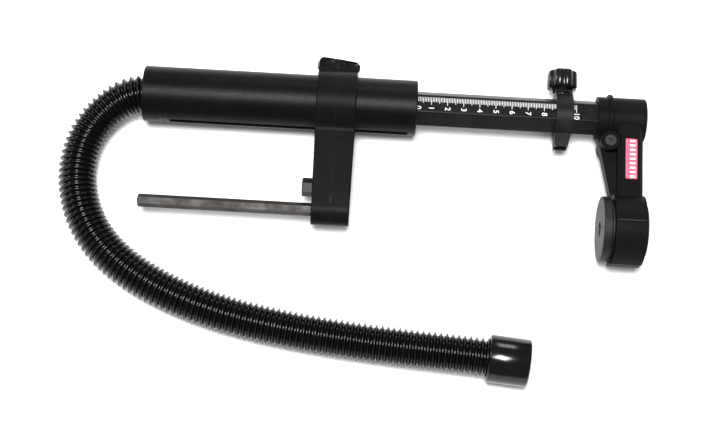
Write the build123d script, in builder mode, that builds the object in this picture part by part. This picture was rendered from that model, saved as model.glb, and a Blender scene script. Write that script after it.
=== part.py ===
"""Telescopic dust-extraction attachment for a rotary hammer, lying on its side.

+X runs along the telescopic tube, towards the suction head and the wall being drilled.
+Y is the side of the two clamping knobs, +Z is up. The origin is under the middle of the
attachment without its hose, on the surface it lies on. Everything is in millimetres.
"""
from build123d import *
from math import cos, pi, radians, sin, tan
import os

os.makedirs("parts", exist_ok=True)

# --- fits and clearances -----------------------------------------------------------
seat_gap = 0.02          # pieces that are pressed, bonded or screwed together
slide_gap = 0.15         # flats that slide on flats
round_gap = 0.2          # round faces that slide on round faces
thread_gap = 0.05        # a screw in its own thread, all round
loose_gap = 0.3          # pieces that pass each other without guiding

# --- edges and cuts --------------------------------------------------------------------
small_edge = 0.6         # broken edges on metal and on the tube's ends
soft_edge = 0.8          # rounded edges on mouldings
past = 1.0               # how far a cut runs past the face it starts or ends at
deep = 30.0              # more than half of any moulding's depth, for cuts right through

# --- outer tube ----------------------------------------------------------------------
tube_diameter = 34.5
tube_wall = 3.0
tube_length = 170.0
keyway_width = 5.0
keyway_depth = 1.4
keyway_front = 5.0       # plain tube left in front of the keyway
keyway_rear = 17.0       # plain tube left behind the keyway

# --- inner tube ------------------------------------------------------------------------
hex_flats = 19.6         # across the flats
hex_corner = 1.2         # radius on the six corners
hex_wall = 1.7
extension = 112.4        # tube that shows between the outer tube and the head
hex_in_carrier = 16.0
hex_in_head = 20.0
strip_width = 9.0
strip_thickness = 0.25
strip_past_tube = 0.1    # the strip starts this far inside the outer tube
strip_in_head = 0.5

# --- bush, carrier, spring and rear socket inside the outer tube ----------------------
bush_length = 16.4
bush_recess = 1.5
bush_to_carrier = 0.1    # left between the bush and the carrier at full reach
carrier_length = 20.0
carrier_bore_wall = 0.1   # the air way is narrower than the inner tube by this
seal_width = 2.4
seal_depth = 1.6
seal_to_hex = 0.8        # from the seal to the inner tube's end
socket_length = 20.0
socket_bore = 9.5        # radius of the air way through the rear socket
hose_seat = 8.0          # how far the hose goes into the rear socket
bend_share = 0.45        # each bend takes this share of the shorter run beside it
spring_wire = 1.5
spring_room = 0.9        # between the spring and the outer tube
spring_turns = 10
spring_end_gap = 0.1
socket_screw_x = 13.0    # from the tube's rear end
screw_radius = 1.45
screw_head_radius = 2.8
screw_head_depth = 1.4
screw_in_socket = 3.0
screw_slot = (3.6, 0.8, 0.8)   # length, width and depth of its crossed slot

# --- hose and cuff -------------------------------------------------------------------
hose_diameter = 24.0
hose_wall = 1.5
cuff_wall = 2.5
cuff_length = 25.0
cuff_hose_depth = 10.0   # how far the hose goes into the cuff
cuff_bore_room = 0.6     # the cuff's open end is this much wider than the hose
cuff_bore_length = 13.0

# --- depth stop ------------------------------------------------------------------------
stop_x = 86.2            # from the outer tube's front end to the stop ring
stop_width = 10.4
stop_slant = 2.4         # how much narrower the ring is at its lug
stop_wall = 2.7          # ring outside the inner tube's corners
pad_rise = 4.5           # the flat that carries the knob, above those corners
pad_half = 6.5
lug_drop = 7.0           # the lug's end below the ring
lug_half = 5.5
lug_recess_flats = 8.0
lug_recess_depth = 4.0
lug_recess_shift = 0.4   # towards the tube, as the lug is slanted in front
ring_edge = 0.9
slant_start = 3.0        # how far above the ring's lowest point the slant begins
stop_thread = 2.5        # radius of the M5 screw
stop_nut_flats = 8.0
stop_nut_thickness = 2.0
stop_nut_cover = 1.2     # moulding left over the nut
stop_screw_in_knob = 8.0
shoe_thickness = 1.0
shoe_half = 3.4
shoe_corner = 0.15       # share of the corner radius that the shoe sits lower by
knob_diameter = 19.0
knob_grip = 11.6
knob_neck = 1.6          # height of the tapered neck under the grip
knob_neck_radius = 6.0
knob_flutes = 8
flute_radius = 3.2
flute_depth = 1.3
flute_start = 22.5       # degrees

# --- bracket, support rod and their fasteners -----------------------------------------
bracket_x = -50.0        # centre of the bracket, from the outer tube's front end
bracket_width = 24.7
bracket_end_width = 23.4
collar_wall = 3.05
arm_length = 69.7        # from the tube's axis to the rod's axis
arm_half = 9.2
arm_fillet = 5.0
boss_half = 8.0
boss_rise = 0.6          # top of the wing screw's boss above the collar
pad_radius = 5.6
pressure_pad_thickness = 1.0
insert_radius = 4.4
wing_thread = 3.0        # radius of the M6 screw
wing_span = 25.6
wing_height = 7.7
wing_thickness = 8.0
wing_hub = 6.6           # radius of the hub, and of the hollows beside it
wing_corner = 2.6
wing_draft = 6.0         # the hub's taper in degrees
wing_hollow = 0.27       # the hollows' places, as a share of the span
wing_hollow_out = 5.6    # the hollows' centres beyond the wings' faces
wing_screw_share = 0.7   # how far the screw reaches into the knob
wing_turn = 14.0         # how the wings stand when the screw is tight, in degrees
rod_flats = 7.0
rod_length = 126.6
rod_turn = 15.0          # the rod's flats from level, in degrees
rod_socket = 20.0        # how far the rod goes into the arm
bolt_from_rod = 14.2
bolt_flats = 10.0
bolt_turn = 20.0         # the head's flats, in degrees
bolt_head = 6.3
bolt_thread = 3.0        # radius of the M6 bolt
bolt_head_room = 0.6     # half of the head and its play, as a share of its flats
bolt_length = 20.0
block_length = 8.0
block_half = 5.0
block_slope = 2.5
pocket_depth = 8.0       # from the arm's bolt side to the block

# --- suction head ------------------------------------------------------------------------
socket_wall = 2.2        # outside the inner tube's corners
socket_reach = 30.0
band_x = 6.3             # the clamp band, from the socket's mouth
band_width = 3.0
band_rise = 1.8
band_boss_radius = 6.2
band_edge = 1.1          # radius on the band's outer corners
band_room = 0.4          # groove left round the band
band_boss_out = 3.8      # from the socket's surface to the clamp screw
band_boss_half = 10.4
band_split = 1.2
clamp_thread = 2.0       # radius of the M4 screw
clamp_head = 3.5
clamp_head_height = 2.6
clamp_head_sunk = 0.3
clamp_key_flats = 2.5
clamp_key_depth = 1.4
clamp_from_back = 1.0    # the screw's tip, from the boss's back
neck_x = 19.8            # centre of the neck, from the socket's mouth
neck_width = 15.3
neck_half = 12.4         # half of its height
neck_top = 5.0           # its upper end, under the tube's axis
neck_corner = 3.0
neck_wall = 2.0
neck_inner_half = 7.0    # half the height of the air way
neck_bevel = 2.2
label_width = 7.1
label_length = 25.8
label_thickness = 0.6
label_margin = 1.1
label_shift = 0.4        # from the neck's middle
label_sunk = 0.2
label_drop = 29.4        # from the tube's axis to the label's centre
web_half = 4.0
web_mouth = 0.3          # the web's upper corner, from the socket's mouth
web_top = 12.0           # the same, under the tube's axis
web_foot = 1.4           # the web's lower corner, behind the nozzle's rear face
web_foot_out = 1.3       # the same, outside the nozzle
web_low_in = 0.9         # the web's lower edge, inside the nozzle
drill_drop = 72.5        # from the tube's axis to the drill's axis
nozzle_x = 9.6           # the nozzle's rear face, from the socket's mouth
nozzle_width = 18.9
nozzle_radius = 21.6
nozzle_wall = 4.5
nozzle_lip = 3.6         # the wall round the way out, inside the nozzle
seal_seat = 4.0
cover_rise = 0.8
cover_thickness = 1.2
cover_short = 1.2        # the cover stops behind the nozzle's front by this
cover_gap = 0.5          # line between the cover's edge and the nozzle
cover_edge = -0.5        # the cover's edge, above the drill's axis
hook_reach = 2.4         # the cover's hook under the dust cap
hook_width = 7.0
hook_inset = 0.05        # the hook is thinner than the cover by twice this
cap_inset = 1.4          # the cap is smaller than the nozzle by this
cap_face = 6.9           # the cap's face, from the nozzle's rear face
cap_groove = 1.5
cap_hole = 4.5
cap_skin = 1.4
cap_plug = 4.6
cap_rim = 3.0            # the cap's hollow, inside the nozzle's bore
cap_step = 1.6           # the groove between the cap and the nozzle
slit_width = 0.4
slit_length = 4.5
slit_count = 8
wall_seal_out = 1.7      # how far the seal stands out of the nozzle
wall_seal_wall = 3.4
socket_seal_width = 2.4
socket_seal_wall = 1.5

# --- worked out from the sizes above ----------------------------------------------------
tube_r = tube_diameter / 2
tube_ir = tube_r - tube_wall
hex_r = hex_flats / 2 / cos(pi / 6)
carrier_bore = hex_flats / 2 - hex_wall - carrier_bore_wall
spring_mean = tube_ir - spring_room - spring_wire / 2
stop_radius = hex_r + stop_wall
pad_height = hex_r + pad_rise
lug_reach = stop_radius + lug_drop
collar_radius = tube_r + collar_wall
boss_height = collar_radius + boss_rise
bolt_offset = arm_length - bolt_from_rod
socket_radius = hex_r + socket_wall
band_boss_drop = socket_radius + band_boss_out
nozzle_bore = nozzle_radius - nozzle_wall
nozzle_shoulder = nozzle_bore - nozzle_lip
cap_radius = nozzle_radius - cap_inset
cuff_diameter = hose_diameter + 2 * cuff_wall
cuff_bore = hose_diameter / 2 + cuff_bore_room
axis_z = collar_radius
cover_r = nozzle_radius + cover_rise
drill_z = cover_r
reach_front = extension + nozzle_x + nozzle_width + wall_seal_out
x_front = (tube_length - reach_front) / 2
top_y = boss_height + round_gap + wing_height
axis_y = (drill_drop + cover_r - top_y) / 2
drill_y = axis_y - drill_drop
x_rear = x_front - tube_length
x_mouth = x_front + extension
strip_length = extension + strip_past_tube + strip_in_head
x_bracket = x_front + bracket_x
x_stop = x_front + stop_x
x_nozzle = x_mouth + nozzle_x
x_bush = x_front - bush_recess - bush_length
x_carrier = x_bush - bush_to_carrier - carrier_length
x_hex = x_carrier + carrier_length - hex_in_carrier
wing_y = axis_y + boss_height + round_gap
rod_y = axis_y - arm_length

tube_axis = Axis((x_front, axis_y, axis_z), (1, 0, 0))


def across(x):
    """Plane square to the outer tube at x; its own axes are Y and Z from the tube's axis."""
    return Plane(origin=(x, axis_y, axis_z), x_dir=(0, 1, 0), z_dir=(1, 0, 0))


def across_drill(x):
    """Plane square to the drill's axis at x; its own axes are Y and Z from that axis."""
    return Plane(origin=(x, drill_y, drill_z), x_dir=(0, 1, 0), z_dir=(1, 0, 0))


def level(x, z=0.0):
    """Level plane through the tube's axis, raised by z; its own axes are X from x and Y."""
    return Plane(origin=(x, axis_y, axis_z + z))


def above(x, y, z=0.0):
    """Plane facing +Y at height y over the tube's axis; its own axes are X and -Z."""
    return Plane(origin=(x, axis_y + y, axis_z + z), x_dir=(1, 0, 0), z_dir=(0, 1, 0))


def finish(piece, name):
    """Label one finished piece and write it to parts/."""
    piece.part.label = name
    export_step(piece.part, f"parts/{name}.step")


# ============================ outer tube and what is fixed in it ===========================
screw_x = x_rear + socket_screw_x
screw_top = -(tube_r ** 2 - screw_head_radius ** 2) ** 0.5   # just under the tube's surface
screw_length = tube_r - screw_head_depth - tube_ir + screw_in_socket

with BuildPart() as outer_tube:
    with BuildSketch(across(x_rear)):
        Circle(tube_r)
        Circle(tube_ir, mode=Mode.SUBTRACT)
    extrude(amount=tube_length)
    chamfer(outer_tube.edges().filter_by(GeomType.CIRCLE).filter_by(
        lambda e: e.radius > tube_ir + seat_gap), length=small_edge)
    with BuildSketch(across(x_rear + keyway_rear)):
        with Locations((-tube_r, 0)):
            Rectangle(2 * keyway_depth, keyway_width)
    extrude(amount=tube_length - keyway_rear - keyway_front, mode=Mode.SUBTRACT)
    with BuildSketch(above(screw_x, -tube_r - past)):
        Circle(screw_radius + seat_gap)
    extrude(amount=tube_wall + 2 * past, mode=Mode.SUBTRACT)
    with BuildSketch(above(screw_x, screw_top + screw_head_depth)):
        Circle(screw_head_radius + thread_gap)
    extrude(amount=-screw_head_depth - past, mode=Mode.SUBTRACT)
finish(outer_tube, "outer_tube")

with BuildPart() as front_bush:
    with BuildSketch(across(x_bush)):
        Circle(tube_ir - seat_gap)
        RegularPolygon(hex_r + slide_gap / cos(pi / 6), 6, mode=Mode.SUBTRACT)
    extrude(amount=bush_length)
finish(front_bush, "front_guide_bush")

with BuildPart() as rear_socket:
    with BuildSketch(across(x_rear)):
        Circle(tube_ir - seat_gap)
        Circle(socket_bore, mode=Mode.SUBTRACT)
    extrude(amount=socket_length)
    with BuildSketch(across(x_rear)):
        Circle(hose_diameter / 2 + seat_gap)
    extrude(amount=hose_seat, mode=Mode.SUBTRACT)
    with BuildSketch(above(screw_x, -tube_r)):
        Circle(screw_radius + seat_gap)
    extrude(amount=tube_wall + screw_in_socket + past / 2, mode=Mode.SUBTRACT)
finish(rear_socket, "rear_hose_socket")

with BuildPart() as socket_screw:
    with BuildSketch(above(screw_x, screw_top)):
        Circle(screw_head_radius)
    extrude(amount=screw_head_depth)
    with BuildSketch(above(screw_x, screw_top + screw_head_depth)):
        Circle(screw_radius)
    extrude(amount=screw_length)
    with BuildSketch(above(screw_x, screw_top)):
        Rectangle(screw_slot[0], screw_slot[1])
        Rectangle(screw_slot[1], screw_slot[0])
    extrude(amount=screw_slot[2], mode=Mode.SUBTRACT)
finish(socket_screw, "socket_screw")

spring_rear = x_rear + socket_length + spring_wire / 2 + spring_end_gap
spring_front = x_carrier - spring_wire / 2 - spring_end_gap
spring_length = spring_front - spring_rear
with BuildPart() as return_spring:
    with BuildLine() as coil:
        Helix(pitch=spring_length / spring_turns, height=spring_length, radius=spring_mean,
              center=(spring_rear, axis_y, axis_z), direction=(1, 0, 0))
    with BuildSketch(Plane(origin=coil.line @ 0, z_dir=coil.line % 0)):
        Circle(spring_wire / 2)
    sweep(is_frenet=True)
finish(return_spring, "return_spring")

# ============================ inner tube and its carrier ====================================
carrier_r = tube_ir - loose_gap
seal_x = x_hex - seal_to_hex - seal_width
with BuildPart() as slide_carrier:
    with BuildSketch(across(x_carrier)):
        Circle(carrier_r)
        Circle(carrier_bore, mode=Mode.SUBTRACT)
    extrude(amount=carrier_length)
    with BuildSketch(across(x_hex)):
        RegularPolygon(hex_r + seat_gap, 6)
    extrude(amount=hex_in_carrier, mode=Mode.SUBTRACT)
    with BuildSketch(across(seal_x)):
        Circle(tube_r)
        Circle(carrier_r - seal_depth, mode=Mode.SUBTRACT)
    extrude(amount=seal_width, mode=Mode.SUBTRACT)
finish(slide_carrier, "slide_carrier")

with BuildPart() as carrier_seal:
    with BuildSketch(across(seal_x + seat_gap)):
        Circle(tube_ir - slide_gap)
        Circle(carrier_r - seal_depth + seat_gap, mode=Mode.SUBTRACT)
    extrude(amount=seal_width - 2 * seat_gap)
    fillet(carrier_seal.edges().filter_by(GeomType.CIRCLE).group_by(
        lambda e: e.radius)[-1], small_edge)
finish(carrier_seal, "carrier_seal")

hex_length = x_mouth + hex_in_head - x_hex
strip_x = x_mouth - strip_length + strip_in_head
with BuildPart() as inner_tube:
    with BuildSketch(across(x_hex)) as hex_section:
        RegularPolygon(hex_r, 6)
        fillet(hex_section.vertices(), hex_corner)
        RegularPolygon(hex_r - hex_wall / cos(pi / 6), 6, mode=Mode.SUBTRACT)
    extrude(amount=hex_length)
    with BuildSketch(level(strip_x, hex_flats / 2 - strip_thickness - seat_gap)):
        Rectangle(strip_length, strip_width, align=(Align.MIN, Align.CENTER))
    extrude(amount=strip_thickness + past, mode=Mode.SUBTRACT)
finish(inner_tube, "inner_tube")

with BuildPart() as scale_strip:
    with BuildSketch(level(strip_x + seat_gap, hex_flats / 2 - strip_thickness)):
        Rectangle(strip_length - 2 * seat_gap, strip_width - 2 * seat_gap,
                  align=(Align.MIN, Align.CENTER))
    extrude(amount=strip_thickness)
finish(scale_strip, "scale_strip")

# ============================ depth stop ======================================================
stop_mid = x_stop + (stop_width - stop_slant / 2) / 2
nut_bottom = pad_height - stop_nut_cover - stop_nut_thickness
shoe_top = hex_r + slide_gap + shoe_thickness - hex_corner * shoe_corner
with BuildPart() as stop_ring:
    with BuildSketch(across(x_stop)):
        Circle(stop_radius)
        Rectangle(pad_height, 2 * pad_half, align=(Align.MIN, Align.CENTER))
        Rectangle(lug_reach, 2 * lug_half, align=(Align.MAX, Align.CENTER))
    extrude(amount=stop_width)
    fillet(stop_ring.edges().filter_by(Axis.X), ring_edge)
    with BuildSketch(level(x_stop, -deep)):
        Polygon((stop_width, slant_start - stop_radius),
                (stop_width - stop_slant, -lug_reach - past),
                (stop_width + stop_slant, -lug_reach - past),
                (stop_width + stop_slant, slant_start - stop_radius), align=None)
    extrude(amount=2 * deep, mode=Mode.SUBTRACT)
    with BuildSketch(across(x_stop)):
        RegularPolygon(hex_r + slide_gap / cos(pi / 6), 6)
    extrude(amount=stop_width, mode=Mode.SUBTRACT)
    with BuildSketch(above(stop_mid, 0)):
        Circle(stop_thread + loose_gap)
    extrude(amount=pad_height + past, mode=Mode.SUBTRACT)
    with BuildSketch(above(stop_mid, 0)):
        Rectangle(2 * shoe_half + 2 * seat_gap, 2 * shoe_half + 2 * seat_gap)
    extrude(amount=shoe_top + seat_gap, mode=Mode.SUBTRACT)
    with BuildSketch(level(x_stop, -stop_nut_flats / 2 / cos(pi / 6) - thread_gap)):
        with Locations((stop_mid - x_stop, nut_bottom - seat_gap)):
            Rectangle(stop_nut_flats + 2 * thread_gap, stop_nut_thickness + 2 * seat_gap,
                      align=(Align.CENTER, Align.MIN))
    extrude(amount=stop_nut_flats + stop_radius, mode=Mode.SUBTRACT)
    with BuildSketch(above(stop_mid - lug_recess_shift, -lug_reach)):
        RegularPolygon(lug_recess_flats / 2 / cos(pi / 6), 6)
    extrude(amount=lug_recess_depth, mode=Mode.SUBTRACT)
finish(stop_ring, "stop_ring")

with BuildPart() as stop_nut:
    with BuildSketch(above(stop_mid, nut_bottom)):
        RegularPolygon(stop_nut_flats / 2 - seat_gap, 6, major_radius=False, rotation=30)
        Circle(stop_thread + thread_gap, mode=Mode.SUBTRACT)
    extrude(amount=stop_nut_thickness)
finish(stop_nut, "stop_nut")

with BuildPart() as stop_shoe:
    with BuildSketch(above(stop_mid, 0)):
        Rectangle(2 * shoe_half, 2 * shoe_half)
    extrude(amount=shoe_top)
    with BuildSketch(across(x_stop - past)):
        RegularPolygon(hex_r + slide_gap / cos(pi / 6), 6)
    extrude(amount=stop_width + 2 * past, mode=Mode.SUBTRACT)
    with BuildSketch(above(stop_mid, 0)):
        Rectangle(4 * shoe_half, 4 * shoe_half)
    extrude(amount=hex_r - shoe_half, mode=Mode.SUBTRACT)
finish(stop_shoe, "stop_shoe")

with BuildPart() as stop_screw:
    with BuildSketch(above(stop_mid, shoe_top + thread_gap)):
        Circle(stop_thread)
    extrude(amount=pad_height + stop_screw_in_knob - shoe_top)
finish(stop_screw, "stop_screw")

knob_bottom = pad_height + loose_gap
with BuildPart() as stop_knob:
    with BuildSketch(above(stop_mid, knob_bottom)):
        Circle(knob_neck_radius)
    with BuildSketch(above(stop_mid, knob_bottom + knob_neck)):
        Circle(knob_diameter / 2 - flute_depth)
    loft()
    with BuildSketch(above(stop_mid, knob_bottom + knob_neck)):
        Circle(knob_diameter / 2)
        with PolarLocations(knob_diameter / 2 + flute_radius - flute_depth, knob_flutes,
                            start_angle=flute_start):
            Circle(flute_radius, mode=Mode.SUBTRACT)
    extrude(amount=knob_grip)
    fillet(stop_knob.faces().sort_by(Axis.Y)[-1].edges(), soft_edge)
    with BuildSketch(above(stop_mid, 0)):
        Circle(stop_thread + seat_gap)
    extrude(amount=pad_height + stop_screw_in_knob + thread_gap + seat_gap,
            mode=Mode.SUBTRACT)
finish(stop_knob, "stop_knob")

# ============================ bracket and support rod ======================================
bracket_left = x_bracket - bracket_width / 2
taper = (bracket_width - bracket_end_width) / 2
rod_left = x_bracket - bracket_end_width / 2 + rod_socket - rod_length
pocket_x = bracket_left + taper + pocket_depth
key_height = keyway_depth - round_gap
with BuildPart() as bracket:
    with BuildSketch(across(bracket_left)):
        Circle(collar_radius)
        Rectangle(arm_length, 2 * arm_half, align=(Align.MAX, Align.CENTER))
        with Locations((-arm_length, 0)):
            Circle(arm_half)
        Rectangle(boss_height, 2 * boss_half, align=(Align.MIN, Align.CENTER))
    extrude(amount=bracket_width)
    fillet(bracket.edges().filter_by(Axis.X).filter_by(
        lambda e: abs(abs(e.center().Z - axis_z) - arm_half) < loose_gap
        and -collar_radius < e.center().Y - axis_y < -arm_half), arm_fillet)
    with BuildSketch(level(x_bracket, -deep)):
        Polygon((-bracket_width / 2, boss_height + past),
                (bracket_width / 2, boss_height + past),
                (bracket_width / 2, -tube_r), (bracket_end_width / 2, -arm_length),
                (bracket_end_width / 2, -arm_length - arm_half - past),
                (-bracket_end_width / 2, -arm_length - arm_half - past),
                (-bracket_end_width / 2, -arm_length), (-bracket_width / 2, -tube_r),
                align=None)
    extrude(amount=2 * deep, mode=Mode.INTERSECT)
    fillet(bracket.faces().filter_by(Axis.X).edges(), soft_edge)
    with BuildSketch(across(bracket_left)):
        Circle(tube_r + round_gap)
    extrude(amount=bracket_width, mode=Mode.SUBTRACT)
    with BuildSketch(across(bracket_left + past)):
        with Locations((-tube_r - round_gap - past, 0)):
            Rectangle(key_height + past, keyway_width - 2 * round_gap,
                      align=(Align.MIN, Align.CENTER))
    extrude(amount=bracket_width - 2 * past)
    with BuildSketch(above(x_bracket, 0)):
        Circle(pad_radius + seat_gap)
    extrude(amount=tube_r + slide_gap + pressure_pad_thickness + thread_gap,
            mode=Mode.SUBTRACT)
    with BuildSketch(above(x_bracket, 0)):
        Circle(insert_radius + seat_gap)
    extrude(amount=boss_height + past, mode=Mode.SUBTRACT)
    with BuildSketch(Plane(origin=(x_bracket - bracket_width / 2 - past, rod_y, axis_z),
                           x_dir=(0, 1, 0), z_dir=(1, 0, 0))):
        RegularPolygon(rod_flats / 2 + seat_gap, 6, major_radius=False, rotation=rod_turn)
    extrude(amount=rod_socket + taper + past + seat_gap, mode=Mode.SUBTRACT)
    with BuildSketch(across(bracket_left - past)):
        with Locations((-bolt_offset, 0)):
            Circle(bolt_thread + seat_gap)
    extrude(amount=bolt_length + 3 * past, mode=Mode.SUBTRACT)
    with BuildSketch(level(pocket_x, -block_half - seat_gap)):
        with Locations((0, -bolt_offset)):
            Rectangle(bracket_width, 2 * block_half + 2 * seat_gap,
                      align=(Align.MIN, Align.CENTER))
    extrude(amount=2 * block_half + 2 * seat_gap, mode=Mode.SUBTRACT)
finish(bracket, "bracket")

with BuildPart() as support_rod:
    with BuildSketch(Plane(origin=(rod_left, rod_y, axis_z), x_dir=(0, 1, 0),
                           z_dir=(1, 0, 0))):
        RegularPolygon(rod_flats / 2, 6, major_radius=False, rotation=rod_turn)
    extrude(amount=rod_length)
    chamfer(support_rod.faces().sort_by(Axis.X)[0].edges(), length=small_edge)
finish(support_rod, "support_rod")

bolt_rise = bolt_offset - bolt_flats * bolt_head_room - tube_r
bolt_face = bracket_left + taper * bolt_rise / (arm_length - tube_r)
with BuildPart() as rod_bolt:
    with BuildSketch(across(bolt_face)):
        with Locations((-bolt_offset, 0)):
            Circle(bolt_thread)
    extrude(amount=bolt_length)
    with BuildSketch(across(bolt_face - bolt_head)):
        with Locations((-bolt_offset, 0)):
            RegularPolygon(bolt_flats / 2, 6, major_radius=False, rotation=bolt_turn)
    extrude(amount=bolt_head)
    chamfer(rod_bolt.faces().sort_by(Axis.X)[0].edges(), length=small_edge)
finish(rod_bolt, "rod_bolt")

with BuildPart() as clamp_block:
    with BuildSketch(level(pocket_x + seat_gap, -block_half)):
        with Locations((0, -bolt_offset)):
            Polygon((0, block_half), (block_length, block_half),
                    (block_length, -block_half), (block_slope, -block_half),
                    (0, -block_half + block_slope), align=None)
    extrude(amount=2 * block_half)
    with BuildSketch(across(pocket_x - past)):
        with Locations((-bolt_offset, 0)):
            Circle(bolt_thread + seat_gap)
    extrude(amount=block_length + 2 * past, mode=Mode.SUBTRACT)
finish(clamp_block, "rod_clamp_block")

pad_top = tube_r + slide_gap + pressure_pad_thickness
with BuildPart() as pressure_pad:
    with BuildSketch(above(x_bracket, 0)):
        Circle(pad_radius)
    extrude(amount=pad_top)
    with BuildSketch(across(bracket_left)):
        Circle(tube_r + slide_gap)
    extrude(amount=bracket_width, mode=Mode.SUBTRACT)
finish(pressure_pad, "pressure_pad")

with BuildPart() as collar_insert:
    with BuildSketch(above(x_bracket, pad_top + thread_gap)):
        Circle(insert_radius)
        Circle(wing_thread + thread_gap, mode=Mode.SUBTRACT)
    extrude(amount=boss_height - pad_top - thread_gap)
finish(collar_insert, "collar_insert")

with BuildPart() as wing_screw:
    with BuildSketch(above(x_bracket, pad_top + 2 * thread_gap)):
        Circle(wing_thread)
    extrude(amount=boss_height + wing_height * wing_screw_share - pad_top)
finish(wing_screw, "wing_screw")

wing_plane = Plane(origin=(x_bracket, wing_y, axis_z),
                   x_dir=(cos(radians(wing_turn)), 0, -sin(radians(wing_turn))),
                   z_dir=(0, 1, 0))
wing_face = Plane(origin=(x_bracket, wing_y, axis_z), x_dir=wing_plane.x_dir,
                  z_dir=wing_plane.y_dir)
with BuildPart() as wing_knob:
    with BuildSketch(wing_plane):
        Circle(wing_hub)
    extrude(amount=wing_height, taper=wing_draft)
    with BuildSketch(wing_face.offset(-wing_thickness / 2)) as wing_outline:
        with Locations((0, -wing_height / 2)):
            Rectangle(wing_span, wing_height)
        fillet(wing_outline.vertices(), wing_corner)
    extrude(amount=wing_thickness)
    with BuildSketch(wing_plane):
        with GridLocations(2 * wing_hollow * wing_span, wing_thickness + 2 * wing_hollow_out,
                           2, 2):
            Circle(wing_hub)
    extrude(amount=wing_height, mode=Mode.SUBTRACT)
    with BuildSketch(wing_plane):
        Circle(wing_thread + seat_gap)
    extrude(amount=wing_height * wing_screw_share + thread_gap + seat_gap,
            mode=Mode.SUBTRACT)
finish(wing_knob, "wing_knob")

# ============================ suction head ====================================================
band_left = x_mouth + band_x
band_mid = band_left + band_width / 2
band_r = socket_radius + band_rise
neck_mid = x_mouth + neck_x
socket_inner = hex_r + seat_gap
with BuildPart() as head:
    with BuildSketch(level(x_mouth, -web_half)):
        Polygon((web_mouth, 0), (web_mouth, -web_top),
                (nozzle_x - web_foot, nozzle_radius + web_foot_out - drill_drop),
                (nozzle_x, nozzle_radius - web_low_in - drill_drop),
                (neck_x, nozzle_radius - web_low_in - drill_drop),
                (neck_x, 0), align=None)
    extrude(amount=2 * web_half)
    with BuildSketch(level(neck_mid, -neck_half)) as neck_outline:
        with Locations((0, -neck_top)):
            Rectangle(neck_width, drill_drop - neck_top - nozzle_radius / 2,
                      align=(Align.CENTER, Align.MAX))
        fillet(neck_outline.vertices().group_by(Axis.Y)[-1], neck_corner)
    extrude(amount=2 * neck_half)
    chamfer(head.edges().filter_by(Axis.Y).group_by(Axis.Z)[-1].sort_by(Axis.X)[0],
            length=neck_bevel)
    with BuildSketch(across(x_mouth)):
        Circle(socket_radius)
    extrude(amount=socket_reach)
    with BuildSketch(across_drill(x_nozzle)):
        Circle(nozzle_radius)
    extrude(amount=nozzle_width)
    fillet(head.faces().sort_by(Axis.X)[-1].edges(), soft_edge)
    # the lower ring stands back, so that the cover's face is nearly level with the upper one
    with BuildSketch(across_drill(x_nozzle)):
        Circle(cover_r + past)
        Circle(cover_r - cover_thickness - seat_gap, mode=Mode.SUBTRACT)
        with Locations((cover_edge + cover_gap, 0)):
            Rectangle(2 * cover_r, 3 * cover_r, align=(Align.MIN, Align.CENTER),
                      mode=Mode.SUBTRACT)
    extrude(amount=nozzle_width, mode=Mode.SUBTRACT)
    # room for the dust cap behind the nozzle
    with BuildSketch(across_drill(x_nozzle - 2 * cap_face)):
        Circle(cap_radius + 2 * loose_gap)
    extrude(amount=2 * cap_face, mode=Mode.SUBTRACT)
    # inside: the hexagonal seat, the air way down the neck, and the nozzle's chamber
    with BuildSketch(across(x_mouth)):
        RegularPolygon(socket_inner, 6)
    extrude(amount=hex_in_head, mode=Mode.SUBTRACT)
    with BuildSketch(across(x_mouth + hex_in_head)):
        Circle(hex_flats / 2 - hex_wall)
    extrude(amount=socket_reach - hex_in_head - neck_wall, mode=Mode.SUBTRACT)
    with BuildSketch(level(neck_mid, -neck_inner_half)):
        Rectangle(neck_width - 2 * neck_wall, drill_drop, align=(Align.CENTER, Align.MAX))
    extrude(amount=2 * neck_inner_half, mode=Mode.SUBTRACT)
    with BuildSketch(across_drill(x_nozzle)):
        Circle(nozzle_bore)
    extrude(amount=nozzle_width - seal_seat - neck_wall, mode=Mode.SUBTRACT)
    with BuildSketch(across_drill(x_nozzle)):
        Circle(nozzle_shoulder)
    extrude(amount=nozzle_width, mode=Mode.SUBTRACT)
    with BuildSketch(across_drill(x_nozzle + nozzle_width - seal_seat)):
        Circle(nozzle_bore)
    extrude(amount=seal_seat, mode=Mode.SUBTRACT)
    # room for the clamp band and for the label
    with BuildSketch(across(band_left - seat_gap)):
        Circle(band_r + band_room)
        Circle(socket_radius, mode=Mode.SUBTRACT)
    extrude(amount=band_width + 2 * seat_gap, mode=Mode.SUBTRACT)
    with BuildSketch(level(band_mid, -deep)):
        with Locations((0, -band_boss_drop)):
            Circle(band_boss_radius + thread_gap)
    extrude(amount=2 * deep, mode=Mode.SUBTRACT)
    with BuildSketch(level(neck_mid, neck_half - label_thickness)):
        with Locations((label_shift, -label_drop)):
            RectangleRounded(label_width + 2 * label_margin, label_length + 2 * label_margin,
                             small_edge)
    extrude(amount=label_thickness + past, mode=Mode.SUBTRACT)
finish(head, "head_housing")

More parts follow.
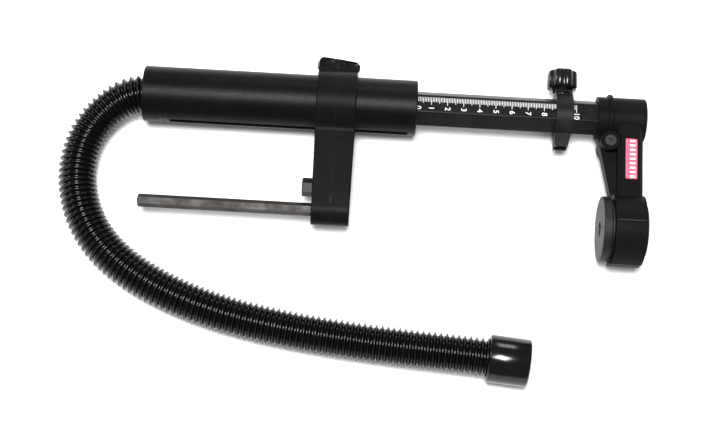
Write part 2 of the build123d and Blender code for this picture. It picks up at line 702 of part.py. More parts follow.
with BuildPart() as clamp_band:
    with BuildSketch(level(band_mid, -band_boss_half)):
        with Locations((0, -band_boss_drop)):
            Circle(band_boss_radius)
    extrude(amount=2 * band_boss_half)
    fillet(clamp_band.faces().sort_by(Axis.Z)[-1].edges(), small_edge)
    with BuildSketch(level(band_left)) as band_section:
        with Locations((0, socket_radius)):
            Rectangle(band_width, band_rise, align=(Align.MIN, Align.MIN))
        fillet(band_section.vertices().group_by(Axis.Y)[-1], band_edge)
    revolve(axis=tube_axis)
    with BuildSketch(across(band_mid - deep / 2)):
        Circle(socket_radius + seat_gap)
    extrude(amount=deep, mode=Mode.SUBTRACT)
    with BuildSketch(level(band_mid, -band_split / 2)):
        Rectangle(4 * band_boss_radius, 2 * deep, align=(Align.CENTER, Align.MAX))
    extrude(amount=band_split, mode=Mode.SUBTRACT)
    with BuildSketch(level(band_mid, -band_boss_half)):
        with Locations((0, -band_boss_drop)):
            Circle(clamp_thread + seat_gap)
    extrude(amount=2 * band_boss_half, mode=Mode.SUBTRACT)
    with BuildSketch(level(band_mid, band_boss_half - clamp_head_height)):
        with Locations((0, -band_boss_drop)):
            Circle(clamp_head + seat_gap)
    extrude(amount=clamp_head_height + past, mode=Mode.SUBTRACT)
finish(clamp_band, "clamp_band")

with BuildPart() as clamp_screw:
    with BuildSketch(level(band_mid, clamp_from_back - band_boss_half)):
        with Locations((0, -band_boss_drop)):
            Circle(clamp_thread)
    extrude(amount=2 * band_boss_half - clamp_head_height - clamp_from_back)
    with BuildSketch(level(band_mid, band_boss_half - clamp_head_height)):
        with Locations((0, -band_boss_drop)):
            Circle(clamp_head)
    extrude(amount=clamp_head_height - clamp_head_sunk)
    with BuildSketch(level(band_mid, band_boss_half - clamp_head_sunk - clamp_key_depth)):
        with Locations((0, -band_boss_drop)):
            RegularPolygon(clamp_key_flats / 2, 6, major_radius=False)
    extrude(amount=clamp_key_depth + past, mode=Mode.SUBTRACT)
finish(clamp_screw, "clamp_screw")

with BuildPart() as socket_seal:
    with BuildSketch(across(x_mouth + hex_in_head - socket_seal_width / 2)):
        Circle(hex_flats / 2 - hex_wall - seat_gap)
        Circle(hex_flats / 2 - hex_wall - socket_seal_wall, mode=Mode.SUBTRACT)
    extrude(amount=socket_seal_width)
finish(socket_seal, "socket_seal")

with BuildPart() as nozzle_cover:
    with BuildSketch(across_drill(x_nozzle)):
        Circle(cover_r)
        Circle(cover_r - cover_thickness, mode=Mode.SUBTRACT)
        with Locations((cover_edge, 0)):
            Rectangle(2 * cover_r, 3 * cover_r, align=(Align.MIN, Align.CENTER),
                      mode=Mode.SUBTRACT)
    extrude(amount=nozzle_width - cover_short)
    with BuildSketch(across_drill(x_nozzle - hook_reach)):
        with Locations((hook_inset - cover_r, 0)):
            Rectangle(cover_thickness - 2 * hook_inset, hook_width,
                      align=(Align.MIN, Align.CENTER))
    extrude(amount=hook_reach + nozzle_width - cover_short)
finish(nozzle_cover, "nozzle_cover")

with BuildPart() as dust_cap:
    with BuildSketch(across_drill(x_nozzle - cap_face)):
        Circle(cap_radius)
    extrude(amount=cap_face - cap_groove)
    fillet(dust_cap.edges(), soft_edge)
    with BuildSketch(across_drill(x_nozzle - cap_groove)):
        Circle(cap_radius - cap_step)
    extrude(amount=cap_groove - loose_gap)
    with BuildSketch(across_drill(x_nozzle - loose_gap)):
        Circle(nozzle_bore - loose_gap)
    extrude(amount=cap_plug + loose_gap)
    with BuildSketch(across_drill(x_nozzle - cap_face + cap_skin)):
        Circle(nozzle_bore - cap_rim)
    extrude(amount=cap_face + cap_plug, mode=Mode.SUBTRACT)
    with BuildSketch(across_drill(x_nozzle - cap_face)):
        Circle(cap_hole)
        with PolarLocations(cap_hole + (slit_length - past) / 2, slit_count):
            Rectangle(slit_length + past, slit_width)
    extrude(amount=cap_skin + past, mode=Mode.SUBTRACT)
finish(dust_cap, "dust_cap")

seal_left = x_nozzle + nozzle_width - seal_seat
with BuildPart() as wall_seal:
    with BuildSketch(across_drill(seal_left + seat_gap)):
        Circle(nozzle_bore - seat_gap)
        Circle(nozzle_bore - wall_seal_wall, mode=Mode.SUBTRACT)
    extrude(amount=seal_seat + wall_seal_out - seat_gap)
    fillet(wall_seal.faces().sort_by(Axis.X)[-1].edges(), soft_edge)
finish(wall_seal, "wall_seal")

with BuildPart() as badge:
    with BuildSketch(level(neck_mid, neck_half - label_thickness + seat_gap)):
        with Locations((label_shift, -label_drop)):
            RectangleRounded(label_width, label_length, small_edge)
    extrude(amount=label_thickness - label_sunk)
finish(badge, "head_label")

# ============================ hose and cuff ===================================================
hose_r = hose_diameter / 2

# the hose's route: X from the outer tube's rear end, Y from its axis, Z above the surface
hose_points = [
    (hose_seat, 0, axis_z),
    (-6, 0, axis_z),
    (-20.5, -8.5, 17.8),
    (-33, -23, 14.4),
    (-38.8, -43, 12.6),
    (-37.2, -65, 12.2),
    (-28, -87, 12.2),
    (-11, -106, 12.2),
    (16, -122.3, 12.2),
    (50, -134.6, 12.2),
    (88, -142.6, 12.2),
    (130, -148, 12.4),
    (172, -151.6, 13.6),
    (204, -153.4, 14.5),
    (229.9, -155.6, 14.5),
]
route = [Vector(x_rear + x, axis_y + y, z) for x, y, z in hose_points]
runs = [b - a for a, b in zip(route, route[1:])]
turns = [radians(a.get_angle(b)) for a, b in zip(runs, runs[1:])]
radii = [bend_share * min(a.length, b.length) / tan(turn / 2)
         for a, b, turn in zip(runs, runs[1:], turns)]
print("hose radii:", [round(r) for r in radii])

with BuildPart() as hose:
    with BuildLine() as hose_line:
        FilletPolyline(*route, radius=radii)
    with BuildSketch(Plane(origin=route[0], z_dir=runs[0].normalized())):
        Circle(hose_r)
        Circle(hose_r - hose_wall, mode=Mode.SUBTRACT)
    sweep()
hose_length = sum(e.length for e in hose_line.line.edges())
hose_section = pi * (hose_r ** 2 - (hose_r - hose_wall) ** 2)
print("hose length:", round(hose_length, 1),
      "volume / (section * length):", round(hose.part.volume / hose_section / hose_length, 4))
finish(hose, "hose")

cuff_way = runs[-1].normalized()
cuff_start = route[-1] - cuff_way * cuff_hose_depth
with BuildPart() as cuff:
    with BuildSketch(Plane(origin=cuff_start, x_dir=(0, 0, 1), z_dir=cuff_way)):
        Circle(cuff_diameter / 2)
    extrude(amount=cuff_length)
    fillet(cuff.edges().filter_by(GeomType.CIRCLE), soft_edge)
    with BuildSketch(Plane(origin=cuff_start, x_dir=(0, 0, 1), z_dir=cuff_way)):
        Circle(hose_r + seat_gap)
    extrude(amount=cuff_hose_depth, mode=Mode.SUBTRACT)
    with BuildSketch(Plane(origin=cuff_start, x_dir=(0, 0, 1), z_dir=cuff_way)):
        Circle(hose_r - hose_wall)
    extrude(amount=cuff_length, mode=Mode.SUBTRACT)
    with BuildSketch(Plane(origin=cuff_start + cuff_way * cuff_length, x_dir=(0, 0, 1),
                           z_dir=-cuff_way)):
        Circle(cuff_bore)
    extrude(amount=cuff_bore_length, mode=Mode.SUBTRACT)
finish(cuff, "hose_cuff")
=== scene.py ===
"""Telescopic dust-extraction attachment for a rotary hammer: the visual model.

The CAD frame gives every place. This script dresses the CAD pieces and adds the finer ones:
the ribbed hose, its cuff, the printed scale, the two clamping knobs, the label's print, the
nozzle's rolled edge and the return spring.
Everything is in metres, with +X along the telescopic tube and +Z up.
"""
import logging
import math
from dataclasses import dataclass, field
from enum import Enum
from typing import Dict, List, Optional, Sequence, Tuple

import bmesh
import bpy
from mathutils import Matrix, Vector


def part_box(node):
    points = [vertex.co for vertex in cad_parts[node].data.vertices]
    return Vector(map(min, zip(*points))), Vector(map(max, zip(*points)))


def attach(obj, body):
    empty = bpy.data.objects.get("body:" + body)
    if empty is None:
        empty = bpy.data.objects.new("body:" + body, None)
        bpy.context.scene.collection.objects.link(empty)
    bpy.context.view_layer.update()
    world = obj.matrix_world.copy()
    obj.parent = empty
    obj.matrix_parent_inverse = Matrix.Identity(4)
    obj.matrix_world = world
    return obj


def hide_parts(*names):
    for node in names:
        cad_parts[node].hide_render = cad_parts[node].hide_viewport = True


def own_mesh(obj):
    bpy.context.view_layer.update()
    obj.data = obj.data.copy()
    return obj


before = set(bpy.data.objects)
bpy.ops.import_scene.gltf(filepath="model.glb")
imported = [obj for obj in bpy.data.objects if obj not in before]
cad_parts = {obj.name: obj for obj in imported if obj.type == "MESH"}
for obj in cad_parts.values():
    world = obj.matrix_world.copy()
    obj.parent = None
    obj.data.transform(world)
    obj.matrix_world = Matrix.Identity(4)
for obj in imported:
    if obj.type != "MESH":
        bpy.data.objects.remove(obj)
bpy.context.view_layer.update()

log = logging.getLogger("attachment")
MM = 0.001
MERGE = 1e-6                    # points nearer than this are one
Point = Tuple[float, float, float]


# ================================ small tools =============================================
def linear(code: str) -> Tuple[float, float, float, float]:
    """Turn an sRGB hex colour into linear RGBA.

    Args:
        code: six hex digits, such as "1a1a1a".

    Returns:
        Linear red, green, blue and an alpha of 1.
    """
    parts = [int(code[i:i + 2], 16) / 255 for i in (0, 2, 4)]
    red, green, blue = [p / 12.92 if p <= 0.04045 else ((p + 0.055) / 1.055) ** 2.4
                        for p in parts]
    return (red, green, blue, 1.0)


def add_node(tree: bpy.types.NodeTree, kind: str, settings: Optional[Dict] = None,
             inputs: Optional[Dict] = None) -> bpy.types.Node:
    """Add one node, with its settings, input values and links.

    Args:
        tree: the node tree.
        kind: the node's type name.
        settings: attributes of the node.
        inputs: socket name or number to a value, or to the output socket that feeds it.

    Returns:
        The new node.
    """
    node = tree.nodes.new(kind)
    for name, value in (settings or {}).items():
        setattr(node, name, value)
    for socket, value in (inputs or {}).items():
        if isinstance(value, bpy.types.NodeSocket):
            tree.links.new(value, node.inputs[socket])
        else:
            node.inputs[socket].default_value = value
    return node


def per_mm(size_mm: float) -> float:
    """Return the texture scale at which one feature of a pattern is size_mm wide."""
    return 1.0 / (size_mm * MM)


def new_material(name: str) -> Tuple[bpy.types.Material, bpy.types.NodeTree, bpy.types.Node,
                                     bpy.types.NodeSocket]:
    """Make an empty material with a Principled shader.

    Args:
        name: the material's name.

    Returns:
        The material, its tree, its shader and its Object coordinates.
    """
    material = bpy.data.materials.new(name)
    material.use_nodes = True
    tree = material.node_tree
    shader = tree.nodes["Principled BSDF"]
    place = add_node(tree, "ShaderNodeTexCoord").outputs["Object"]
    return material, tree, shader, place


def blend_colours(tree: bpy.types.NodeTree, amount: bpy.types.NodeSocket, low: str,
                  high: str) -> bpy.types.NodeSocket:
    """Mix two colours by an amount between 0 and 1.

    Args:
        tree: the node tree.
        amount: the socket that gives the amount.
        low: hex colour at 0.
        high: hex colour at 1.

    Returns:
        The socket of the mixed colour.
    """
    mix = add_node(tree, "ShaderNodeMix", {"data_type": "RGBA"},
                   {"Factor": amount, 6: linear(low), 7: linear(high)})
    return mix.outputs[2]


def spread(tree: bpy.types.NodeTree, value: bpy.types.NodeSocket, low: float, high: float,
           to_low: float = 0.0, to_high: float = 1.0) -> bpy.types.NodeSocket:
    """Map a value's range to another, held at its ends.

    Args:
        tree: the node tree.
        value: the socket to map.
        low: the value that becomes to_low.
        high: the value that becomes to_high.
        to_low: the result at low.
        to_high: the result at high.

    Returns:
        The mapped value's socket.
    """
    return add_node(tree, "ShaderNodeMapRange", {"clamp": True},
                    {"Value": value, "From Min": low, "From Max": high, "To Min": to_low,
                     "To Max": to_high}).outputs["Result"]


# ================================ finishes ================================================
@dataclass(frozen=True)
class MouldedABS:
    """Injection-moulded black ABS or nylon: a fine spark-eroded grain that breaks up the
    highlight, faint flow marks and a little pale dust caught in the grain."""

    name: str
    dark: str = "080808"
    light: str = "121110"
    roughness: float = 0.5
    grain_mm: float = 0.45      # real grain is near 0.1 mm; drawn coarser so that it shows
    grain_height_mm: float = 0.02
    dust: float = 0.35          # how much of the grain's dust shows
    dust_mm: float = 0.8
    dust_colour: str = "8a857c"
    flow_mm: float = 22.0
    patch_mm: float = 9.0
    seam_x: Optional[float] = None      # the mould's parting line, where the piece has one
    seam_colour: str = "6b655d"
    seam_width: float = 0.32 * MM
    seam_core: float = 0.1 * MM
    seam_wear_mm: float = 5.0
    seam_height: float = 3.0    # against the grain's height
    gloss: float = 0.12         # spark-eroded grain scatters much of the reflection

    def build(self) -> bpy.types.Material:
        """Return the material."""
        material, tree, shader, place = new_material(self.name)
        flow = add_node(tree, "ShaderNodeTexNoise", {}, {
            "Vector": place, "Scale": per_mm(self.flow_mm), "Detail": 3.0}).outputs["Fac"]
        grain = add_node(tree, "ShaderNodeTexNoise", {}, {
            "Vector": place, "Scale": per_mm(self.grain_mm), "Detail": 2.0,
            "Roughness": 0.6}).outputs["Fac"]
        specks = add_node(tree, "ShaderNodeTexVoronoi", {}, {
            "Vector": place, "Scale": per_mm(self.dust_mm * 4)}).outputs["Distance"]
        patches = add_node(tree, "ShaderNodeTexNoise", {}, {
            "Vector": place, "Scale": per_mm(self.patch_mm), "Detail": 2.0}).outputs["Fac"]
        speck = spread(tree, specks, 0.10, 0.02)
        patch = spread(tree, patches, 0.55, 0.75)
        dust = add_node(tree, "ShaderNodeMath", {"operation": "MULTIPLY"}, {
            0: speck, 1: patch}).outputs[0]
        dusty = add_node(tree, "ShaderNodeMath", {"operation": "MULTIPLY"}, {
            0: dust, 1: self.dust}).outputs[0]
        base = blend_colours(tree, spread(tree, flow, 0.35, 0.7), self.dark, self.light)
        colour = add_node(tree, "ShaderNodeMix", {"data_type": "RGBA"}, {
            "Factor": dusty, 6: base, 7: linear(self.dust_colour)}).outputs[2]
        height = grain
        if self.seam_x is not None:
            # the mould's parting line, a fine raised edge square to the tube
            across = add_node(tree, "ShaderNodeSeparateXYZ", {}, {"Vector": place})
            off = add_node(tree, "ShaderNodeMath", {"operation": "SUBTRACT"}, {
                0: across.outputs["X"], 1: self.seam_x}).outputs[0]
            away = add_node(tree, "ShaderNodeMath", {"operation": "ABSOLUTE"},
                            {0: off}).outputs[0]
            line = spread(tree, away, self.seam_width, self.seam_core)
            worn = add_node(tree, "ShaderNodeTexNoise", {}, {
                "Vector": place, "Scale": per_mm(self.seam_wear_mm),
                "Detail": 3.0}).outputs["Fac"]
            pale = add_node(tree, "ShaderNodeMath", {"operation": "MULTIPLY"}, {
                0: line, 1: spread(tree, worn, 0.58, 0.85, 0.03, 0.7)}).outputs[0]
            colour = add_node(tree, "ShaderNodeMix", {"data_type": "RGBA"}, {
                "Factor": pale, 6: colour, 7: linear(self.seam_colour)}).outputs[2]
            height = add_node(tree, "ShaderNodeMath", {"operation": "MULTIPLY_ADD"}, {
                0: line, 1: self.seam_height, 2: grain}).outputs[0]
        tree.links.new(colour, shader.inputs["Base Color"])
        tree.links.new(spread(tree, grain, 0.3, 0.7, self.roughness - 0.06,
                              self.roughness + 0.08), shader.inputs["Roughness"])
        bump = add_node(tree, "ShaderNodeBump", {}, {
            "Strength": 0.6, "Distance": self.grain_height_mm * MM, "Height": height})
        tree.links.new(bump.outputs["Normal"], shader.inputs["Normal"])
        shader.inputs["IOR"].default_value = 1.52
        shader.inputs["Specular IOR Level"].default_value = self.gloss
        return material


@dataclass(frozen=True)
class PolishedPlastic:
    """Moulded plastic from a polished tool: a sharp reflection, slightly wavy from shrinkage,
    with fine handling marks in its gloss."""

    name: str
    colour: str = "070707"
    mark: str = "141312"
    roughness: float = 0.16
    wave_mm: float = 7.0
    wave_height_mm: float = 0.03
    mark_mm: float = 1.2
    gloss: float = 0.5
    worn: float = 0.1           # how much rougher the handled places are

    def build(self) -> bpy.types.Material:
        """Return the material."""
        material, tree, shader, place = new_material(self.name)
        wave = add_node(tree, "ShaderNodeTexNoise", {}, {
            "Vector": place, "Scale": per_mm(self.wave_mm), "Detail": 1.0}).outputs["Fac"]
        marks = add_node(tree, "ShaderNodeTexNoise", {}, {
            "Vector": place, "Scale": per_mm(self.mark_mm), "Detail": 5.0,
            "Roughness": 0.65}).outputs["Fac"]
        tree.links.new(blend_colours(tree, spread(tree, marks, 0.4, 0.75), self.colour,
                                     self.mark), shader.inputs["Base Color"])
        tree.links.new(spread(tree, marks, 0.35, 0.7, self.roughness, self.roughness + self.worn),
                       shader.inputs["Roughness"])
        bump = add_node(tree, "ShaderNodeBump", {}, {
            "Strength": 0.5, "Distance": self.wave_height_mm * MM, "Height": wave})
        tree.links.new(bump.outputs["Normal"], shader.inputs["Normal"])
        shader.inputs["IOR"].default_value = 1.5
        shader.inputs["Specular IOR Level"].default_value = self.gloss
        return material


@dataclass(frozen=True)
class SealRubber:
    """Moulded nitrile rubber: matt, slightly bloomed and dusty."""

    name: str
    colour: str = "121212"
    bloom: str = "2c2a28"
    roughness: float = 0.62
    dust: str = ""              # drilling dust on a node's face, where it has one
    dust_node: str = ""
    dust_reach: float = 15.0 * MM
    bloom_mm: float = 6.0
    grain_mm: float = 0.5
    grain_height: float = 0.03 * MM

    def build(self) -> bpy.types.Material:
        """Return the material."""
        material, tree, shader, place = new_material(self.name)
        bloom = add_node(tree, "ShaderNodeTexNoise", {}, {
            "Vector": place, "Scale": per_mm(self.bloom_mm), "Detail": 6.0,
            "Roughness": 0.7}).outputs["Fac"]
        fine = add_node(tree, "ShaderNodeTexNoise", {}, {
            "Vector": place, "Scale": per_mm(self.grain_mm), "Detail": 2.0}).outputs["Fac"]
        colour = blend_colours(tree, spread(tree, bloom, 0.4, 0.7), self.colour, self.bloom)
        if self.dust_node:
            # dust thins out from the hole in the middle to the rim
            low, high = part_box(self.dust_node)
            middle = [(a + b) / 2 for a, b in zip(low, high)]
            out = add_node(tree, "ShaderNodeVectorMath", {"operation": "SUBTRACT"}, {
                0: place, 1: (low[0], middle[1], middle[2])}).outputs["Vector"]
            away = add_node(tree, "ShaderNodeVectorMath", {"operation": "LENGTH"},
                            {0: out}).outputs["Value"]
            near = spread(tree, away, self.dust_reach, 0.35 * self.dust_reach)
            patchy = add_node(tree, "ShaderNodeMath", {"operation": "MULTIPLY"}, {
                0: near, 1: spread(tree, bloom, 0.35, 0.65, 0.35, 1.0)}).outputs[0]
            colour = add_node(tree, "ShaderNodeMix", {"data_type": "RGBA"}, {
                "Factor": patchy, 6: colour, 7: linear(self.dust)}).outputs[2]
        tree.links.new(colour, shader.inputs["Base Color"])
        tree.links.new(spread(tree, bloom, 0.3, 0.7, self.roughness - 0.08,
                              self.roughness + 0.1), shader.inputs["Roughness"])
        bump = add_node(tree, "ShaderNodeBump", {}, {
            "Strength": 0.5, "Distance": self.grain_height, "Height": fine})
        tree.links.new(bump.outputs["Normal"], shader.inputs["Normal"])
        shader.inputs["Specular IOR Level"].default_value = 0.3
        return material


@dataclass(frozen=True)
class RustedSteel:
    """Cold-drawn carbon steel with brown rust in blotches and die marks along its length."""

    name: str
    steel: str = "1f1b18"
    rust: str = "2a1c14"
    dark: str = "120e0b"
    groove: str = "110f0d"
    groove_mm: float = 1.6      # the die's marks, drawn coarser so that they show
    blotch_mm: float = 9.0
    pit_mm: float = 1.1
    pit_depth: float = 0.05 * MM

    def build(self) -> bpy.types.Material:
        """Return the material."""
        material, tree, shader, place = new_material(self.name)
        stretched = add_node(tree, "ShaderNodeMapping", {}, {
            "Vector": place, "Scale": (0.12, 1.0, 1.0)}).outputs["Vector"]
        drawn = add_node(tree, "ShaderNodeTexNoise", {}, {
            "Vector": stretched, "Scale": per_mm(self.groove_mm), "Detail": 2.0}).outputs["Fac"]
        blotch = add_node(tree, "ShaderNodeTexNoise", {}, {
            "Vector": place, "Scale": per_mm(self.blotch_mm), "Detail": 5.0,
            "Roughness": 0.6}).outputs["Fac"]
        pits = add_node(tree, "ShaderNodeTexNoise", {}, {
            "Vector": place, "Scale": per_mm(self.pit_mm), "Detail": 4.0}).outputs["Fac"]
        rusty = spread(tree, blotch, 0.42, 0.72)
        brown = blend_colours(tree, spread(tree, pits, 0.4, 0.65), self.dark, self.rust)
        bare = blend_colours(tree, spread(tree, drawn, 0.35, 0.65), self.groove, self.steel)
        colour = add_node(tree, "ShaderNodeMix", {"data_type": "RGBA"}, {
            "Factor": rusty, 6: bare, 7: brown}).outputs[2]
        tree.links.new(colour, shader.inputs["Base Color"])
        tree.links.new(spread(tree, rusty, 0.0, 1.0, 0.5, 0.1), shader.inputs["Metallic"])
        tree.links.new(spread(tree, rusty, 0.0, 1.0, 0.38, 0.7), shader.inputs["Roughness"])
        bump = add_node(tree, "ShaderNodeBump", {}, {
            "Strength": 0.6, "Distance": self.pit_depth, "Height": pits})
        tree.links.new(bump.outputs["Normal"], shader.inputs["Normal"])
        return material


@dataclass(frozen=True)
class TurnedMetal:
    """Machined or plated metal: a clean conductor with fine tool marks."""

    name: str
    bright: str = "c8c8c6"
    dull: str = "9a9a98"
    roughness: float = 0.3
    metallic: float = 1.0
    tool_mm: float = 0.7

    def build(self) -> bpy.types.Material:
        """Return the material."""
        material, tree, shader, place = new_material(self.name)
        marks = add_node(tree, "ShaderNodeTexNoise", {}, {
            "Vector": place, "Scale": per_mm(self.tool_mm), "Detail": 3.0}).outputs["Fac"]
        tree.links.new(blend_colours(tree, spread(tree, marks, 0.35, 0.65), self.dull,
                                     self.bright), shader.inputs["Base Color"])
        tree.links.new(spread(tree, marks, 0.3, 0.7, self.roughness - 0.06,
                              self.roughness + 0.1), shader.inputs["Roughness"])
        shader.inputs["Metallic"].default_value = self.metallic
        return material


@dataclass(frozen=True)
class AnodisedTube:
    """Extruded aluminium, black anodised: satin, with faint die lines along the tube."""

    name: str
    dark: str = "0c0c0c"
    light: str = "151515"
    line_mm: float = 0.6        # the die's lines, drawn coarser so that they show
    line_height: float = 0.01 * MM
    rub_mm: float = 12.0
    gloss: float = 0.12

    def build(self) -> bpy.types.Material:
        """Return the material."""
        material, tree, shader, place = new_material(self.name)
        along = add_node(tree, "ShaderNodeMapping", {}, {
            "Vector": place, "Scale": (0.02, 1.0, 1.0)}).outputs["Vector"]
        lines = add_node(tree, "ShaderNodeTexNoise", {}, {
            "Vector": along, "Scale": per_mm(self.line_mm), "Detail": 3.0}).outputs["Fac"]
        rub = add_node(tree, "ShaderNodeTexNoise", {}, {
            "Vector": place, "Scale": per_mm(self.rub_mm), "Detail": 5.0}).outputs["Fac"]
        tree.links.new(blend_colours(tree, spread(tree, rub, 0.4, 0.7), self.dark, self.light),
                       shader.inputs["Base Color"])
        tree.links.new(spread(tree, lines, 0.3, 0.7, 0.32, 0.44), shader.inputs["Roughness"])
        bump = add_node(tree, "ShaderNodeBump", {}, {
            "Strength": 0.3, "Distance": self.line_height, "Height": lines})
        tree.links.new(bump.outputs["Normal"], shader.inputs["Normal"])
        shader.inputs["Specular IOR Level"].default_value = self.gloss
        return material


@dataclass(frozen=True)
class PrintedFilm:
    """Screen-printed polyester film or ink: even colour, slightly mottled ink, satin."""

    name: str
    colour: str
    thin: str
    roughness: float = 0.4
    gloss: float = 0.5
    mottle_mm: float = 1.4

    def build(self) -> bpy.types.Material:
        """Return the material."""
        material, tree, shader, place = new_material(self.name)
        ink = add_node(tree, "ShaderNodeTexNoise", {}, {
            "Vector": place, "Scale": per_mm(self.mottle_mm), "Detail": 4.0}).outputs["Fac"]
        tree.links.new(blend_colours(tree, spread(tree, ink, 0.5, 0.8), self.colour, self.thin),
                       shader.inputs["Base Color"])
        tree.links.new(spread(tree, ink, 0.3, 0.7, self.roughness - 0.05,
                              self.roughness + 0.08), shader.inputs["Roughness"])
        shader.inputs["Specular IOR Level"].default_value = self.gloss
        return material


class Finish(Enum):
    """The finishes of this attachment, each made once."""

    TUBE = MouldedABS("tube_abs_fine_grain", dark="060606", light="0e0d0c", roughness=0.38,
                      grain_mm=0.8, grain_height_mm=0.14, gloss=0.08)
    MOULDING = MouldedABS("head_nylon_fine_grain", dark="0e0e0e", light="151413",
                          roughness=0.42, gloss=0.03)
    BRACKET = MouldedABS("bracket_nylon_parting_line", dark="0c0c0c", light="131211",
                         roughness=0.42, seam_x=-0.0363, gloss=0.04)
    RING = MouldedABS("ring_nylon_scuffed", dark="0a0a0a", light="1e1c1a",
                      roughness=0.46, gloss=0.13)
    WING = MouldedABS("wing_nylon_smooth", dark="0a0a0a", light="121110",
                      roughness=0.32, gloss=0.12)
    BEAD = PolishedPlastic("cover_edge_worn_smooth", colour="0c0c0c", mark="1c1b1a",
                           roughness=0.34)
    GLOSS = PolishedPlastic("knob_polished_plastic")
    HOSE = PolishedPlastic("hose_extruded_pvc", colour="050505", mark="0a0a0a",
                           roughness=0.13, wave_mm=12, mark_mm=6, worn=0.04, gloss=0.32)
    SEAL = SealRubber("seal_nitrile_rubber")
    CAP = SealRubber("cap_dusty_rubber", colour="080808", bloom="0f0e0e", roughness=0.55,
                     dust="41392f", dust_node="dust_cap")
    ROD = RustedSteel("rod_drawn_steel_rusted")
    BLACKENED = TurnedMetal("bolt_blackened_steel", bright="161413", dull="0b0a0a",
                            roughness=0.48, metallic=0.15)
    PLATED = TurnedMetal("screw_zinc_plated")
    BRASS = TurnedMetal("insert_turned_brass", bright="c9a55a", dull="9a7b3c")
    ANODISED = AnodisedTube("inner_tube_anodised")
    SCALE = PrintedFilm("scale_film_black", "0c0c0c", "121212", 0.38, 0.12)
    WHITE_INK = PrintedFilm("scale_ink_white", "e8e8e6", "b9b9b6", 0.5)
    LABEL = PrintedFilm("label_film_red", "cf4f6b", "dd7d94", 0.35)

    @property
    def material(self) -> bpy.types.Material:
        """The finish's material, made the first time it is asked for."""
        return bpy.data.materials.get(self.value.name) or self.value.build()


def dress(thing: bpy.types.Object, finish: Finish) -> None:
    """Give an object one finish in place of whatever it had."""
    thing.data.materials.clear()
    thing.data.materials.append(finish.material)


def piece_from(shape: bmesh.types.BMesh, name: str, finish: Finish, body: str,
               smooth_angle: float = 35.0) -> bpy.types.Object:
    """Turn a finished bmesh into a piece that rides on a body.

    Args:
        shape: the mesh, in the row frame; it is freed.
        name: the piece's name.
        finish: its finish.
        body: the CAD body that it rides on.
        smooth_angle: edges sharper than this many degrees stay sharp.

    Returns:
        The new object.
    """
    mesh = bpy.data.meshes.new(name)
    for face in shape.faces:
        face.smooth = True
    for edge in shape.edges:
        if edge.is_manifold and edge.calc_face_angle(0.0) > math.radians(smooth_angle):
            edge.smooth = False
    shape.to_mesh(mesh)
    shape.free()
    thing = bpy.data.objects.new(name, mesh)
    bpy.context.scene.collection.objects.link(thing)
    dress(thing, finish)
    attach(thing, body)
    log.info("piece %s: %d faces on %s", name, len(mesh.polygons), body)
    return thing


def lathe(profile: Sequence[Tuple[float, float]], steps: int = 72) -> bmesh.types.BMesh:
    """Spin a closed profile about the X axis.

    Args:
        profile: (x, radius) pairs in metres, in order; the last joins the first.
        steps: how many steps the full turn has.

    Returns:
        A closed bmesh round the X axis.
    """
    shape = bmesh.new()
    ring = [shape.verts.new((x, r, 0)) for x, r in profile]
    edges = [shape.edges.new((a, b)) for a, b in zip(ring, ring[1:] + ring[:1])]
    bmesh.ops.spin(shape, geom=ring + edges, cent=(0, 0, 0), axis=(1, 0, 0),
                   angle=math.tau, steps=steps, use_merge=True)
    bmesh.ops.remove_doubles(shape, verts=shape.verts, dist=MERGE)
    bmesh.ops.recalc_face_normals(shape, faces=shape.faces)
    return shape


